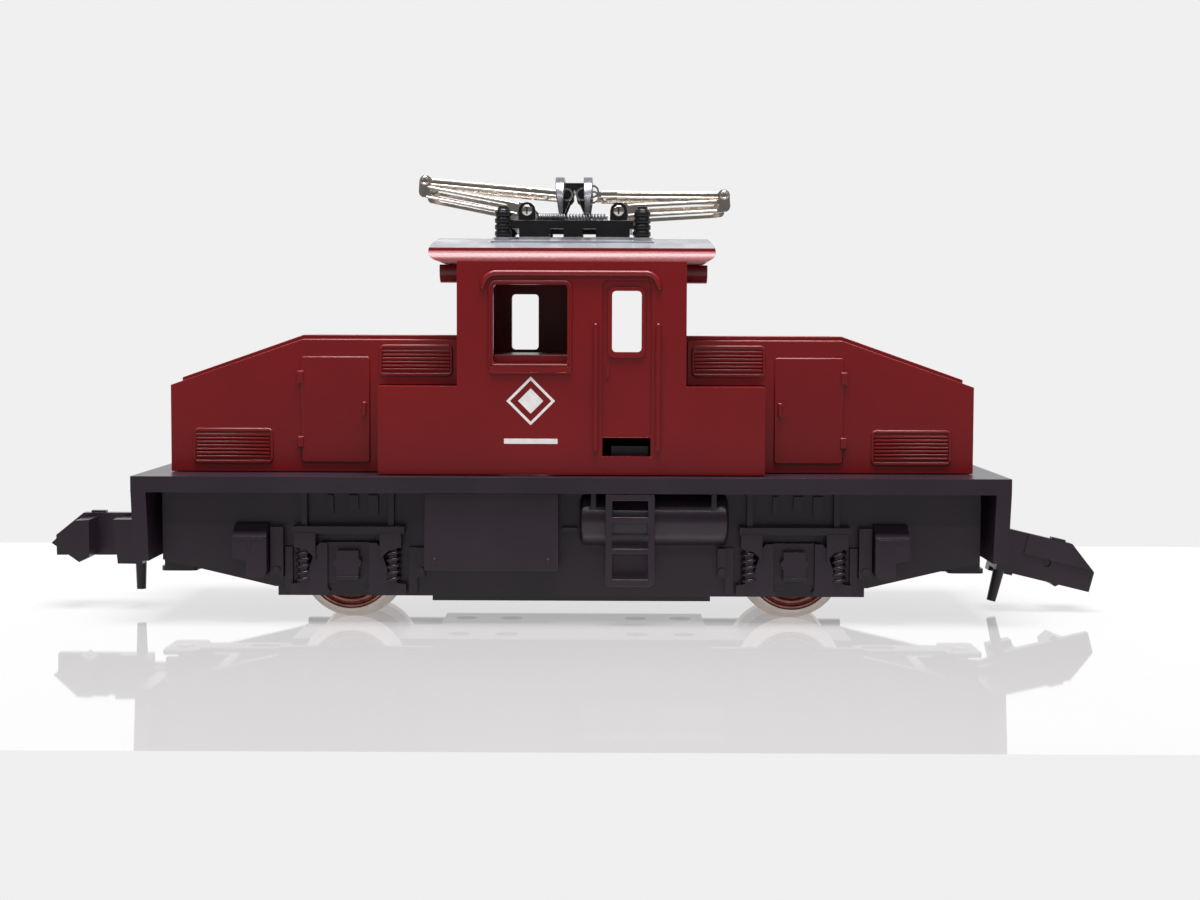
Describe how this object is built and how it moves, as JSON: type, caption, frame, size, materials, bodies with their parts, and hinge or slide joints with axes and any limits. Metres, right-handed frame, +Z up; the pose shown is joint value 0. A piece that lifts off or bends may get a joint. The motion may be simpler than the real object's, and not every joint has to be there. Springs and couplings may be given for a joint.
{
  "type": "model electric locomotive",
  "caption": "Small-scale model of a centre-cab electric locomotive with sloping hoods, side frames, drop-hook couplers and a folding diamond pantograph.",
  "frame": {"origin": "middle of the locomotive's bounding box in plan, at the height of the lowest point of the wheel flanges", "axes": "+X along the track towards the front end, +Y across the track towards the far side, +Z up"},
  "size_m": [0.0718, 0.0176, 0.0295],
  "materials": {
    "red_plastic": "semi-gloss moulded plastic",
    "black_plastic": "satin moulded plastic",
    "lens_plastic": "clear moulded plastic",
    "wheel_centre_plastic": "moulded plastic with metallic paint",
    "nickel": "bright nickel plate",
    "steel": "plain drawn steel",
    "brass": "machined",
    "die_cast": "blackened die-cast zinc"
  },
  "bodies": {
    "locomotive_body": {"air_tank_far": "black_plastic", "air_tank_near": "black_plastic", "ballast_weight_front": "die_cast", "ballast_weight_rear": "die_cast", "bottom_cover": "black_plastic", "cab_floor": "red_plastic", "cab_roof": "red_plastic", "cab_shell": "red_plastic", "chassis_block": "die_cast", "coupler_keeper_front": "black_plastic", "coupler_keeper_rear": "black_plastic", "coupler_spring_front": "steel", "coupler_spring_rear": "steel", "equipment_box_far": "black_plastic", "equipment_box_near": "black_plastic", "headlight_barrel_front": "red_plastic", "headlight_barrel_rear": "red_plastic", "headlight_lens_front": "lens_plastic", "headlight_lens_rear": "lens_plastic", "hood_front": "red_plastic", "hood_rear": "red_plastic", "motor_can": "steel", "panto_base": "black_plastic", "panto_insulator_far_a": "black_plastic", "panto_insulator_far_b": "black_plastic", "panto_insulator_near_a": "black_plastic", "panto_insulator_near_b": "black_plastic", "panto_spring_far": "steel", "panto_spring_near": "steel", "pickup_strip_far": "brass", "pickup_strip_near": "brass", "side_frame_far": "black_plastic", "side_frame_near": "black_plastic", "step_ladder_far": "black_plastic", "step_ladder_near": "black_plastic", "underframe": "black_plastic"},
    "wheelset_front": {"axle_front": "steel", "gear_front": "brass", "wheel_tyre_front_near": "nickel", "wheel_tyre_front_far": "nickel", "wheel_centre_front_near": "wheel_centre_plastic", "wheel_centre_front_far": "wheel_centre_plastic"},
    "wheelset_rear": {"axle_rear": "steel", "gear_rear": "brass", "wheel_tyre_rear_near": "nickel", "wheel_tyre_rear_far": "nickel", "wheel_centre_rear_near": "wheel_centre_plastic", "wheel_centre_rear_far": "wheel_centre_plastic"},
    "worm_drive": {"worm_shaft": "brass"},
    "coupler_swivel_front": {"coupler_post_front": "steel"},
    "coupler_hook_front": {"coupler_front": "black_plastic"},
    "coupler_swivel_rear": {"coupler_post_rear": "steel"},
    "coupler_hook_rear": {"coupler_rear": "black_plastic"},
    "pantograph_lower_rear": {"panto_lower_arm_rear": "nickel"},
    "pantograph_upper_rear": {"panto_upper_arm_rear": "nickel"},
    "pantograph_head": {"panto_head": "black_plastic", "panto_shoe_front": "steel", "panto_shoe_rear": "steel"},
    "pantograph_lower_front": {"panto_lower_arm_front": "nickel"},
    "pantograph_upper_front": {"panto_upper_arm_front": "nickel"}
  },
  "joints": [
    {"name": "front_wheelset_spin", "type": "hinge", "parent": "locomotive_body", "child": "wheelset_front", "pos_m": [0.0146, 0, 0.0036], "axis": [0, 1, 0], "continuous": true},
    {"name": "rear_wheelset_spin", "type": "hinge", "parent": "locomotive_body", "child": "wheelset_rear", "pos_m": [-0.0146, 0, 0.0036], "axis": [0, 1, 0], "continuous": true},
    {"name": "worm_spin", "type": "hinge", "parent": "locomotive_body", "child": "worm_drive", "pos_m": [0, 0, 0.0067], "axis": [1, 0, 0], "continuous": true},
    {"name": "front_coupler_swing", "type": "hinge", "parent": "locomotive_body", "child": "coupler_swivel_front", "pos_m": [0.0269, 0, 0.00493], "axis": [0, 0, 1], "range_deg": [-10, 10], "stiffness_Nm_per_rad": 0.00002},
    {"name": "front_coupler_lift", "type": "hinge", "parent": "coupler_swivel_front", "child": "coupler_hook_front", "pos_m": [0.0269, 0, 0.00493], "axis": [0, -1, 0], "range_deg": [0, 20]},
    {"name": "rear_coupler_swing", "type": "hinge", "parent": "locomotive_body", "child": "coupler_swivel_rear", "pos_m": [-0.0269, 0, 0.00493], "axis": [0, 0, 1], "range_deg": [-10, 10], "stiffness_Nm_per_rad": 0.00002},
    {"name": "rear_coupler_lift", "type": "hinge", "parent": "coupler_swivel_rear", "child": "coupler_hook_rear", "pos_m": [-0.0269, 0, 0.00493], "axis": [0, 1, 0], "range_deg": [-13.3, 6.7]},
    {"name": "rear_lower_arm_raise", "type": "hinge", "parent": "locomotive_body", "child": "pantograph_lower_rear", "pos_m": [-0.00305, 0, 0.02715], "axis": [0, 1, 0], "range_deg": [0, 38.7]},
    {"name": "rear_knee_fold", "type": "hinge", "parent": "pantograph_lower_rear", "child": "pantograph_upper_rear", "pos_m": [-0.0099, 0, 0.02915], "axis": [0, 1, 0], "range_deg": [-89, 0]},
    {"name": "head_level", "type": "hinge", "parent": "pantograph_upper_rear", "child": "pantograph_head", "pos_m": [-0.00044, 0, 0.0283], "axis": [0, 1, 0], "range_deg": [0, 50.5]},
    {"name": "front_lower_arm_raise", "type": "hinge", "parent": "locomotive_body", "child": "pantograph_lower_front", "pos_m": [0.00305, 0, 0.02715], "axis": [0, -1, 0], "range_deg": [0, 45.5]},
    {"name": "front_knee_fold", "type": "hinge", "parent": "pantograph_lower_front", "child": "pantograph_upper_front", "pos_m": [0.0101, 0, 0.02825], "axis": [0, 1, 0], "range_deg": [0, 91.5]}
  ],
  "couplings": [
    {"joint": "rear_wheelset_spin", "follows": "front_wheelset_spin", "ratio": 1},
    {"joint": "worm_spin", "follows": "front_wheelset_spin", "ratio": -12},
    {"joint": "rear_knee_fold", "follows": "rear_lower_arm_raise", "ratio": -2.2978},
    {"joint": "head_level", "follows": "rear_lower_arm_raise", "ratio": 1.2978},
    {"joint": "front_lower_arm_raise", "follows": "rear_lower_arm_raise", "ratio": 1.1729},
    {"joint": "front_knee_fold", "follows": "rear_lower_arm_raise", "ratio": 2.3605}
  ]
}
